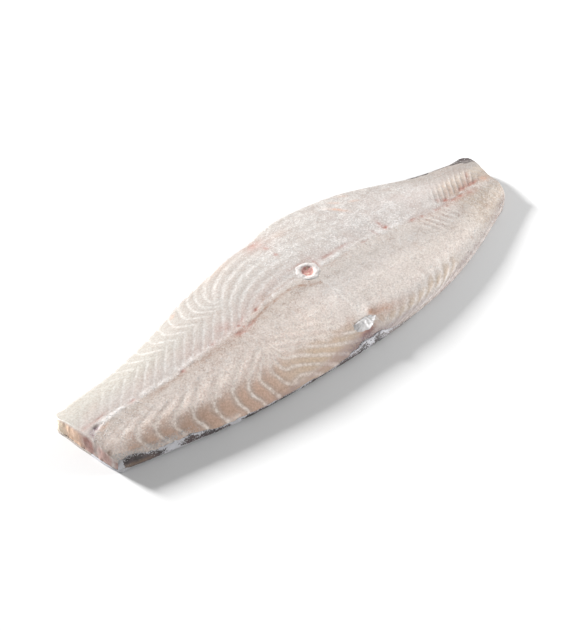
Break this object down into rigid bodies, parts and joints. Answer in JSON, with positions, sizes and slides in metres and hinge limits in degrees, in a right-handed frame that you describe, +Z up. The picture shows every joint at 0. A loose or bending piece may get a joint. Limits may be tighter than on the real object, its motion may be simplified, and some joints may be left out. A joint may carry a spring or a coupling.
{
  "type": "frozen saithe fillet",
  "caption": "Long frozen fish fillet lying on its dark skin, pale flesh up, with a straight cut thick end, a bone ring in its middle line and a tapering tail.",
  "frame": {"origin": "middle of the footprint, at the level the fillet rests on", "axes": "+X towards the tail, +Y towards the thick back edge, +Z up out of the flesh side"},
  "size_m": [0.4138, 0.1412, 0.0275],
  "materials": {
    "flesh": "pale frozen fish flesh, translucent tan between white sheets, dusted with frost",
    "skin": "near-black fish skin with bluish frost",
    "bone": "white cartilage round a pinkish hollow",
    "ice": "opaque white frosty ice"
  },
  "bodies": {
    "root": {"flesh": "flesh", "skin": "skin", "bone_ring": "bone", "ice_clump": "ice"}
  },
  "joints": []
}
